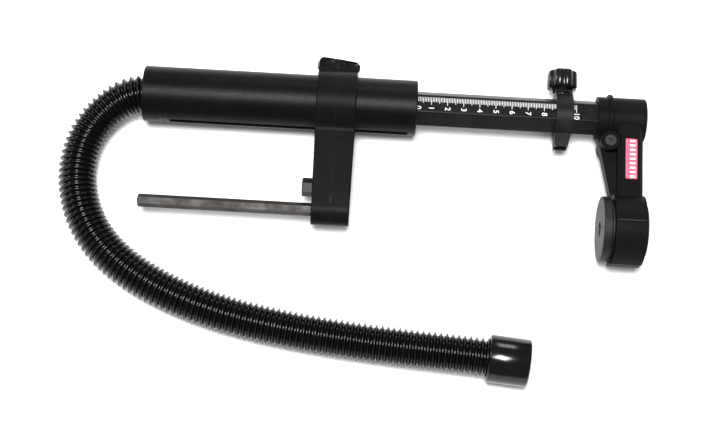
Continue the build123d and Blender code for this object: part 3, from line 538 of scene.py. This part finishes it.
# ================================ camera, lights and floor ================================
@dataclass
class Studio:
    """A pale floor, soft lights and the camera."""

    tilt: float = 16.0                   # the camera leans this far from straight down
    roll: float = 3.2
    distance: float = 1.0
    focal_px: float = 1600.0
    width_px: float = 709.0
    sensor_mm: float = 36.0
    look_at: Point = (-0.0210, -0.0376, 0.0003)
    sky: float = 0.32
    floor_reach: float = 6.0
    floor_drop: float = 0.4 * MM         # the floor lies this far under the object
    softboxes: Tuple[Tuple[str, Point, float, float], ...] = (
        # name, place, side in metres, power in watts
        ("overhead_softbox", (-0.1, -0.16, 1.7), 0.5, 44),
        ("left_softbox", (-1.5, 0.3, 0.8), 0.5, 8),
        ("back_softbox", (0.2, 1.5, 0.9), 0.6, 8))

    def place_camera(self) -> None:
        """Make the scene's camera."""
        tilt, roll = math.radians(self.tilt), math.radians(self.roll)
        along = Vector((1, 0, 0))
        up = Vector((0, math.cos(tilt), math.sin(tilt)))
        back = Vector((0, -math.sin(tilt), math.cos(tilt)))
        right = math.cos(roll) * along + math.sin(roll) * up
        top = math.cos(roll) * up - math.sin(roll) * along
        data = bpy.data.cameras.new("studio_camera")
        data.sensor_width = self.sensor_mm
        data.lens = self.sensor_mm * self.focal_px / self.width_px
        data.clip_start, data.clip_end = 0.01, 20
        camera = bpy.data.objects.new("studio_camera", data)
        turn = Matrix((right, top, back)).transposed().to_4x4()
        camera.matrix_world = Matrix.Translation(
            Vector(self.look_at) + back * self.distance) @ turn
        bpy.context.scene.collection.objects.link(camera)
        bpy.context.scene.camera = camera

    @staticmethod
    def area_light(name: str, place: Point, size: float, power: float) -> None:
        """Add one square soft light that faces the object.

        Args:
            name: the light's name.
            place: where it stands.
            size: its side in metres.
            power: its power in watts.
        """
        data = bpy.data.lights.new(name, "AREA")
        data.energy, data.size = power, size
        light = bpy.data.objects.new(name, data)
        light.location = place
        light.rotation_euler = Vector(place).to_track_quat("Z", "Y").to_euler()
        bpy.context.scene.collection.objects.link(light)

    def lay_floor(self) -> None:
        """Lay the pale sweep that the attachment lies on."""
        shape = bmesh.new()
        bmesh.ops.create_grid(shape, x_segments=2, y_segments=2, size=self.floor_reach)
        bmesh.ops.translate(shape, verts=shape.verts, vec=(0, 0, -self.floor_drop))
        mesh = bpy.data.meshes.new("studio_floor")
        shape.to_mesh(mesh)
        shape.free()
        floor = bpy.data.objects.new("studio_floor", mesh)
        bpy.context.scene.collection.objects.link(floor)
        material, tree, shader, place = new_material("floor_white_card")
        fibre = add_node(tree, "ShaderNodeTexNoise", {}, {
            "Vector": place, "Scale": per_mm(3), "Detail": 2.0}).outputs["Fac"]
        tree.links.new(blend_colours(tree, fibre, "fafafa", "ffffff"),
                       shader.inputs["Base Color"])
        shader.inputs["Roughness"].default_value = 0.9
        shader.inputs["Specular IOR Level"].default_value = 0.1
        mesh.materials.append(material)

    def light(self) -> None:
        """Set the soft light of the studio."""
        world = bpy.data.worlds.new("studio_air")
        bpy.context.scene.world = world
        world.use_nodes = True
        air = world.node_tree.nodes["Background"]
        air.inputs["Color"].default_value = (1, 1, 1, 1)
        air.inputs["Strength"].default_value = self.sky
        for softbox in self.softboxes:
            self.area_light(*softbox)
        bpy.context.scene.view_settings.view_transform = "Standard"

    def build(self) -> None:
        """Set up everything round the object."""
        self.place_camera()
        self.light()
        self.lay_floor()


# ================================ hose and cuff ===========================================
@dataclass
class Hose:
    """The ribbed hose and its cuff, lying in one open loop."""

    outer: float = 24.0 * MM
    root: float = 19.4 * MM
    pitch: float = 3.56 * MM
    wall: float = 1.0 * MM
    around: int = 40
    rings_per_rib: int = 8
    crest_power: float = 1.05            # above 1 makes the crests narrower than the roots
    cuff_outer: float = 29.0 * MM
    cuff_length: float = 25.0 * MM
    cuff_over: float = 10.0 * MM
    cuff_bore: float = 12.6 * MM
    cuff_bore_length: float = 13.0 * MM
    cuff_inner: float = 10.5 * MM
    cuff_bevel: float = 1.2 * MM
    cuff_bevel_bulge: float = 0.3        # share of the bevel, at its rounded middle
    cuff_mouth: float = 0.4 * MM         # the small chamfer inside its mouth
    cuff_room: float = 0.05 * MM         # between the hose's ribs and the cuff
    route: List[Point] = field(default_factory=lambda: [
        (-0.1483, 0.03305, 0.0203),
        (-0.1623, 0.03305, 0.0203),
        (-0.1768, 0.02455, 0.0178),
        (-0.1893, 0.01005, 0.0144),
        (-0.1951, -0.00995, 0.0126),
        (-0.1935, -0.03195, 0.0122),
        (-0.1843, -0.05395, 0.0122),
        (-0.1673, -0.07295, 0.0122),
        (-0.1403, -0.08925, 0.0122),
        (-0.1063, -0.10155, 0.0122),
        (-0.0683, -0.10955, 0.0122),
        (-0.0263, -0.11495, 0.0124),
        (0.0157, -0.11855, 0.0136),
        (0.0477, -0.12035, 0.0145),
        (0.0736, -0.12255, 0.0145),
    ])

    def centreline(self) -> List[Vector]:
        """Return points along the smooth line that the hose follows."""
        curve = bpy.data.curves.new("hose_route", "CURVE")
        curve.dimensions = "3D"
        spline = curve.splines.new("NURBS")
        spline.points.add(len(self.route) - 1)
        for point, place in zip(spline.points, self.route):
            point.co = (*place, 1.0)
        spline.order_u = 3
        spline.use_endpoint_u = True
        spline.resolution_u = 24
        carrier = bpy.data.objects.new("hose_route", curve)
        bpy.context.scene.collection.objects.link(carrier)
        bpy.context.view_layer.update()
        mesh = bpy.data.meshes.new_from_object(carrier)
        points = [v.co.copy() for v in mesh.vertices]
        bpy.data.objects.remove(carrier)
        bpy.data.curves.remove(curve)
        bpy.data.meshes.remove(mesh)
        return points

    @staticmethod
    def evenly(points: Sequence[Vector], count: int) -> List[Vector]:
        """Return count points spaced evenly along a line.

        Args:
            points: the line's own points.
            count: how many points to return.

        Returns:
            The spaced points.
        """
        reach = [0.0]
        for a, b in zip(points, points[1:]):
            reach.append(reach[-1] + (b - a).length)
        spaced, at = [], 0
        for i in range(count):
            want = reach[-1] * i / (count - 1)
            while at < len(points) - 2 and reach[at + 1] < want:
                at += 1
            gap = max(reach[at + 1] - reach[at], 1e-12)
            spaced.append(points[at].lerp(points[at + 1], (want - reach[at]) / gap))
        return spaced

    def rib_radius(self, phase: float) -> float:
        """Return the hose's radius at a phase, 0 to 1, of one rib: a round crest and a
        narrower root."""
        crest = (0.5 + 0.5 * math.cos(math.tau * phase)) ** self.crest_power
        return (self.root + (self.outer - self.root) * crest) / 2

    def build_tube(self, line: List[Vector]) -> bpy.types.Object:
        """Make the ribbed tube along a line.

        Args:
            line: points along the hose's centre.

        Returns:
            The tube.
        """
        length = sum((b - a).length for a, b in zip(line, line[1:]))
        ribs = round(length / self.pitch)
        rings = ribs * self.rings_per_rib + 1
        centres = self.evenly(line, rings)
        shape = bmesh.new()
        bmesh.ops.create_grid(shape, x_segments=rings - 1, y_segments=self.around, size=0.5)
        for vert in shape.verts:
            ring = round((vert.co.x + 0.5) * (rings - 1))
            turn = (vert.co.y + 0.5) * math.tau
            ahead = (centres[min(ring + 1, rings - 1)] - centres[max(ring - 1, 0)]).normalized()
            side = ahead.cross(Vector((0, 0, 1))).normalized()
            up = side.cross(ahead)
            radius = self.rib_radius(ring / self.rings_per_rib % 1.0)
            vert.co = centres[ring] + radius * (math.cos(turn) * side + math.sin(turn) * up)
        bmesh.ops.remove_doubles(shape, verts=shape.verts, dist=MERGE)
        bmesh.ops.recalc_face_normals(shape, faces=shape.faces)
        tube = piece_from(shape, "hose_ribbed", Finish.HOSE, "barrel", 180)
        wall = tube.modifiers.new("wall", "SOLIDIFY")
        wall.thickness, wall.offset = self.wall, -1.0
        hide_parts("hose")
        return tube

    def build_cuff(self, line: List[Vector]) -> bpy.types.Object:
        """Make the cuff on the hose's free end.

        Args:
            line: points along the hose's centre; not used.

        Returns:
            The cuff.
        """
        bevel, outer, end = self.cuff_bevel, self.cuff_outer / 2, self.cuff_length
        bulge, hose_r = self.cuff_bevel_bulge * bevel, self.outer / 2 + self.cuff_room
        step = end - self.cuff_bore_length
        profile = [
            (0, hose_r), (0, outer - bevel), (bulge, outer - bulge), (bevel, outer),
            (end - bevel, outer), (end - bulge, outer - bulge), (end, outer - bevel),
            (end, self.cuff_bore + self.cuff_mouth), (end - self.cuff_mouth, self.cuff_bore),
            (step, self.cuff_bore), (step, self.cuff_inner),
            (self.cuff_over, self.cuff_inner), (self.cuff_over, hose_r)]
        shape = lathe(profile, 96)
        ahead = (Vector(self.route[-1]) - Vector(self.route[-2])).normalized()
        start = Vector(self.route[-1]) - ahead * self.cuff_over
        turn = ahead.to_track_quat("X", "Z").to_matrix().to_4x4()
        bmesh.ops.transform(shape, matrix=Matrix.Translation(start) @ turn,
                            verts=shape.verts)
        cuff = piece_from(shape, "hose_cuff_moulded", Finish.HOSE, "barrel", 50)
        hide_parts("hose_cuff")
        return cuff

    def build(self) -> None:
        line = self.centreline()
        tube, cuff = self.build_tube(line), self.build_cuff(line)


# ================================ printed scale ===========================================
@dataclass
class PrintedScale:
    """White centimetre scale printed on the inner tube's upper flat."""

    zero_ahead: float = -1.2 * MM        # the 0 mark, from the outer tube's front end
    zero_shift: float = 1.9 * MM         # the figure 0 is printed ahead of its mark
    centimetres: int = 10
    top: float = 4.2 * MM                # the marks' upper end, from the tube's axis
    short: float = 3.0 * MM
    medium: float = 3.9 * MM
    long: float = 5.0 * MM
    line_width: float = 0.4 * MM
    ink: float = 0.03 * MM
    figure_height: float = 3.4 * MM
    figure_centre: float = -2.9 * MM     # from the tube's axis
    font_size: float = 1.38              # the font's size, against its figures' height
    weight: float = 0.012                # how much the strokes are thickened, the same

    def mark(self, shape: bmesh.types.BMesh, x: float, y_top: float, z: float,
             length: float) -> None:
        """Add one mark to the print.

        Args:
            shape: the print's mesh.
            x: the mark's place along the tube.
            y_top: its upper end.
            z: the face it is printed on.
            length: its length.
        """
        made = bmesh.ops.create_cube(shape, size=1.0)
        bmesh.ops.scale(shape, vec=(self.line_width, length, self.ink), verts=made["verts"])
        bmesh.ops.translate(shape, vec=(x, y_top - length / 2, z + self.ink / 2),
                            verts=made["verts"])

    def figure(self, shape: bmesh.types.BMesh, text: str, x: float, y: float,
               z: float) -> None:
        """Add one figure, turned a quarter turn clockwise.

        Args:
            shape: the print's mesh.
            text: the figure.
            x: its centre along the tube.
            y: its centre across the tube.
            z: the face it is printed on.
        """
        words = bpy.data.curves.new("figure", "FONT")
        words.body, words.size = text, self.figure_height * self.font_size
        words.align_x, words.align_y = "CENTER", "CENTER"
        words.extrude, words.offset = self.ink / 2, self.weight * self.figure_height
        holder = bpy.data.objects.new("figure", words)
        bpy.context.scene.collection.objects.link(holder)
        bpy.context.view_layer.update()
        mesh = bpy.data.meshes.new_from_object(holder)
        mesh.transform(Matrix.Translation((x, y, z + self.ink / 2))
                       @ Matrix.Rotation(-math.pi / 2, 4, "Z"))
        shape.from_mesh(mesh)
        bpy.data.objects.remove(holder)
        bpy.data.curves.remove(words)
        bpy.data.meshes.remove(mesh)

    def build(self) -> None:
        """Print the marks and figures."""
        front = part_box("outer_tube")[1][0]
        low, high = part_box("scale_strip")
        face, axis_y = high[2], (low[1] + high[1]) / 2
        shape = bmesh.new()
        for step in range(-1, 10 * self.centimetres + 1):
            x = front + self.zero_ahead + step * MM
            if not low[0] + self.line_width < x < high[0] - self.line_width:
                continue
            length = self.long if step % 10 == 0 else self.medium if step % 5 == 0 else self.short
            self.mark(shape, x, axis_y + self.top, face, length)
        piece_from(shape, "scale_marks", Finish.WHITE_INK, "slide", 180)
        shape = bmesh.new()
        for number in range(self.centimetres + 1):
            x = front + self.zero_ahead + number * 10 * MM
            x += 0.0 if number else self.zero_shift
            self.figure(shape, str(number), x, axis_y + self.figure_centre, face)
        piece_from(shape, "scale_figures", Finish.WHITE_INK, "slide", 180)


# ================================ knobs ===================================================
@dataclass
class FlutedKnob:
    """The depth stop's thumb knob: a fluted grip on a tapered neck, axis along +Y."""

    flutes: int = 8
    flute_depth: float = 1.15 * MM
    neck_radius: float = 6.0 * MM
    neck_height: float = 1.6 * MM
    edge: float = 1.3 * MM               # the grip's rounded outer edge
    dimple: float = 0.45 * MM            # the hollow of its end face
    dimple_radius: float = 1.2 * MM
    flute_power: float = 2.2             # above 1 makes the flutes narrower than the lobes
    around: int = 128

    def lobe(self, turn: float, radius: float) -> float:
        """Return the grip's radius at an angle: broad lobes with narrow flutes between."""
        dip = (0.5 + 0.5 * math.cos(self.flutes * turn)) ** self.flute_power
        return radius - self.flute_depth * dip

    def build(self) -> None:
        """Make the knob in place of its CAD node."""
        low, high = (Vector(c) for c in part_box("stop_knob"))
        centre = (low + high) / 2
        radius, height = (high.x - low.x) / 2, high.y - low.y
        # height, radius and how much of the fluting shows there
        levels = [
            (0.0, self.neck_radius, 0.0),
            (self.neck_height, radius - 2.2 * MM, 0.35),
            (self.neck_height + 0.35 * MM, radius - 0.8 * MM, 0.8),
            (self.neck_height + 1.1 * MM, radius, 1.0),
            (height - self.edge, radius, 1.0),
            (height - 0.45 * self.edge, radius - 0.28 * self.edge, 0.9),
            (height - 0.08 * self.edge, radius - 0.85 * self.edge, 0.6),
            (height, radius - 1.6 * self.edge, 0.25),
            (height - 0.25 * MM, radius - 2.6 * self.edge, 0.0),
            (height - self.dimple, self.dimple_radius, 0.0)]
        shape = bmesh.new()
        bmesh.ops.create_circle(shape, cap_ends=True, radius=self.neck_radius,
                                segments=self.around)
        cap = list(shape.faces)
        for lift, reach, fluted in levels[1:]:
            out = bmesh.ops.extrude_face_region(shape, geom=cap)
            bmesh.ops.delete(shape, geom=cap, context="FACES_ONLY")
            ring = [v for v in out["geom"] if isinstance(v, bmesh.types.BMVert)]
            cap = [f for f in out["geom"] if isinstance(f, bmesh.types.BMFace)]
            for vert in ring:
                turn = math.atan2(vert.co.y, vert.co.x)
                wanted = reach + (self.lobe(turn, reach) - reach) * fluted
                vert.co = Vector((math.cos(turn) * wanted, math.sin(turn) * wanted, lift))
        stand = Matrix.Translation((centre.x, low.y, centre.z)) @ Matrix.Rotation(
            -math.pi / 2, 4, "X")
        bmesh.ops.transform(shape, matrix=stand, verts=shape.verts)
        bmesh.ops.holes_fill(shape, edges=shape.edges, sides=0)
        bmesh.ops.recalc_face_normals(shape, faces=shape.faces)
        knob = piece_from(shape, "stop_knob_fluted", Finish.GLOSS, "stop_grip",
                          50)
        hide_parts("stop_knob")


@dataclass
class WingKnob:
    """The bracket's wing knob: two rounded wings pinched in at a round hub, axis along +Y.

    The wings are flat lobes with softly rounded rims. Their faces are slightly hollow, so
    that a thumb and finger hold them."""

    turn: float = 14.0                   # the wings' turn from the tube's direction
    hub_radius: float = 3.9 * MM
    wing_thick: float = 6.2 * MM
    hollow: float = 1.3 * MM
    corner: float = 3.0 * MM
    droop: float = 0.5 * MM              # one wing stands a little lower than the other
    spare: float = 0.6 * MM              # the wings end this far inside the CAD piece
    hub_share: float = 0.26              # the hub's reach, as a share of a wing's
    rim: float = 1.0 * MM
    rim_angle: float = 55.0              # edges sharper than this are rounded
    span_steps: int = 40
    height_steps: int = 14

    def build(self) -> None:
        """Make the knob in place of its CAD node."""
        low, high = (Vector(c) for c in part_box("wing_knob"))
        centre = (low + high) / 2
        height = high.y - low.y
        half = (high.x - low.x) / 2 / math.cos(math.radians(self.turn))
        half -= self.spare
        shape = bmesh.new()
        bmesh.ops.create_cube(shape, size=1.0)
        bmesh.ops.scale(shape, vec=(2 * half, height, self.wing_thick), verts=shape.verts)
        bmesh.ops.translate(shape, vec=(0, height / 2, 0), verts=shape.verts)
        upright = [e for e in shape.edges
                   if abs(e.verts[0].co.z - e.verts[1].co.z) > self.wing_thick / 2]
        bmesh.ops.bevel(shape, geom=upright, offset=self.corner, offset_type="OFFSET",
                        affect="EDGES", segments=6, profile=0.5, material=-1,
                        clamp_overlap=True)
        for step in range(1, self.span_steps):
            place = -half + 2 * half * step / self.span_steps
            bmesh.ops.bisect_plane(shape, geom=[*shape.verts, *shape.edges, *shape.faces],
                                   plane_co=(place, 0, 0), plane_no=(1, 0, 0), dist=1e-7)
        for step in range(1, self.height_steps):
            place = height * step / self.height_steps
            bmesh.ops.bisect_plane(shape, geom=[*shape.verts, *shape.edges, *shape.faces],
                                   plane_co=(0, place, 0), plane_no=(0, 1, 0), dist=1e-7)
        for vert in shape.verts:
            along, up = abs(vert.co.x) / half, vert.co.y / height
            middle = math.exp(-(along / self.hub_share) ** 4)
            inside = max(0.0, 1.0 - abs(2 * up - 1) ** 5) * max(0.0, 1.0 - along ** 8)
            thick = self.wing_thick / 2 - self.hollow * inside * (1.0 - middle)
            thick += middle * inside * (self.hub_radius - self.wing_thick / 2)
            vert.co.z = math.copysign(thick, vert.co.z)
            vert.co.y -= self.droop * up * (along if vert.co.x > 0 else 0.0)
        rim_edges = [e for e in shape.edges
                     if e.is_manifold and e.calc_face_angle(0.0) > math.radians(self.rim_angle)]
        bmesh.ops.bevel(shape, geom=rim_edges, offset=self.rim, offset_type="OFFSET",
                        affect="EDGES", segments=4, profile=0.5, material=-1,
                        clamp_overlap=True)
        bmesh.ops.recalc_face_normals(shape, faces=shape.faces)
        stand = Matrix.Translation((centre.x, low.y, centre.z)) @ Matrix.Rotation(
            math.radians(self.turn), 4, "Y")
        bmesh.ops.transform(shape, matrix=stand, verts=shape.verts)
        knob = piece_from(shape, "wing_knob_moulded", Finish.WING, "wing",
                          60)
        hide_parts("wing_knob")


# ================================ label ===================================================
@dataclass
class LabelPrint:
    """A plain pattern of equal white bars printed along the label."""

    ink: float = 0.03 * MM
    count: int = 9
    length: float = 0.5                  # a bar's length and width, and the place of its
    width: float = 0.055                 # middle, as shares of the label's sides
    shift: float = 0.62

    def build(self) -> None:
        """Print the bars on the label's face."""
        low, high = (Vector(c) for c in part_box("head_label"))
        size = high - low
        shape = bmesh.new()
        for step in range(self.count):
            bar = bmesh.ops.create_cube(shape, size=1.0)["verts"]
            bmesh.ops.scale(shape, vec=(self.length * size.x, self.width * size.y, self.ink),
                            verts=bar)
            bmesh.ops.translate(shape, vec=(
                low.x + self.shift * size.x, low.y + (step + 0.5) / self.count * size.y,
                high.z + self.ink / 2), verts=bar)
        piece_from(shape, "label_bars", Finish.WHITE_INK, "slide", 180)


# ================================ head details ============================================
@dataclass
class CoverEdge:
    """The rolled edge that the nozzle's upper half ends in, above each end of its cover."""

    bead: float = 0.4 * MM               # its radius
    step: float = 0.8 * MM               # the upper half lies this far inside the cover
    above: float = 1.0 * MM              # from the cover's end to the bead
    inset: float = 0.2 * MM              # how deep its middle is sunk
    plug: float = 3.8 * MM               # its rear end, behind the dust cap's plug end
    sides: int = 14

    def build(self) -> None:
        """Make the two beads beside the line where the cover ends."""
        low, high = (Vector(c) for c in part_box("nozzle_cover"))
        middle, radius = (low.z + high.z) / 2, (high.z - low.z) / 2
        rise = high.y + self.above - (low.y + radius)
        reach = math.sqrt((radius - self.step) ** 2 - rise ** 2) - self.inset
        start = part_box("dust_cap")[1][0] - self.plug
        shape = bmesh.new()
        for side in (-1, 1):
            rod = bmesh.ops.create_cone(
                shape, cap_ends=True, segments=self.sides, radius1=self.bead,
                radius2=self.bead, depth=high.x - start)["verts"]
            bmesh.ops.rotate(shape, verts=rod, cent=(0, 0, 0),
                             matrix=Matrix.Rotation(math.pi / 2, 3, "Y"))
            bmesh.ops.translate(shape, verts=rod, vec=(
                (high.x + start) / 2, high.y + self.above, middle + side * reach))
        bmesh.ops.recalc_face_normals(shape, faces=shape.faces)
        piece_from(shape, "cover_edge_beads", Finish.BEAD, "slide")


# ================================ return spring ===========================================
@dataclass
class ReturnSpring:
    """The spring in the outer tube, wound from wire, which closes as the head goes in."""

    wire: float = 1.5 * MM
    turns: int = 10
    steps_per_turn: int = 32
    sides: int = 8
    closed: float = 0.48        # its length with the head pushed in, as a share

    def build(self) -> None:
        """Wind the spring."""
        low, high = (Vector(c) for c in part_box("return_spring"))
        centre = (low + high) / 2
        shape = bmesh.new()
        section = bmesh.ops.create_circle(shape, cap_ends=False, segments=self.sides,
                                          radius=self.wire / 2)["verts"]
        bmesh.ops.translate(shape, verts=section, vec=(
            low.x + self.wire / 2, high.y - self.wire / 2, centre.z))
        steps = self.turns * self.steps_per_turn
        bmesh.ops.spin(shape, geom=shape.edges[:], cent=centre, axis=(1, 0, 0),
                       dvec=((high.x - low.x - self.wire) / steps, 0, 0),
                       angle=math.tau * self.turns, steps=steps, use_merge=False,
                       use_duplicate=False)
        bmesh.ops.holes_fill(shape, edges=shape.edges, sides=0)
        bmesh.ops.recalc_face_normals(shape, faces=shape.faces)
        spring = piece_from(shape, "return_spring_wound", Finish.PLATED, "barrel",
                            60)
        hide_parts("return_spring")
        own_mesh(spring)


# ================================ finishes of the CAD pieces ==============================
DRESSING: Dict[Finish, Tuple[str, ...]] = {
    Finish.TUBE: ("outer_tube",),
    Finish.BRACKET: ("bracket",),
    Finish.MOULDING: ("head_housing", "nozzle_cover", "clamp_band", "front_guide_bush",
                      "rear_hose_socket", "slide_carrier"),
    Finish.RING: ("stop_ring",),
    Finish.SEAL: ("wall_seal", "socket_seal", "carrier_seal"),
    Finish.CAP: ("dust_cap",),
    Finish.ROD: ("support_rod",),
    Finish.BLACKENED: ("rod_bolt", "clamp_screw", "socket_screw"),
    Finish.PLATED: ("stop_screw", "stop_nut", "wing_screw", "rod_clamp_block"),
    Finish.BRASS: ("collar_insert", "pressure_pad", "stop_shoe"),
    Finish.ANODISED: ("inner_tube",),
    Finish.SCALE: ("scale_strip",),
    Finish.LABEL: ("head_label",),
}


def dress_cad() -> None:
    """Give every CAD piece its own finish."""
    for finish, nodes in DRESSING.items():
        for node in nodes:
            dress(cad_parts[node], finish)


def main() -> None:
    """Build the visual model round its frame."""
    logging.basicConfig(level=logging.INFO, format="%(message)s")
    Studio().build()
    Hose().build()
    dress_cad()
    PrintedScale().build()
    FlutedKnob().build()
    WingKnob().build()
    LabelPrint().build()
    CoverEdge().build()
    ReturnSpring().build()


if __name__ == "__main__":
    main()
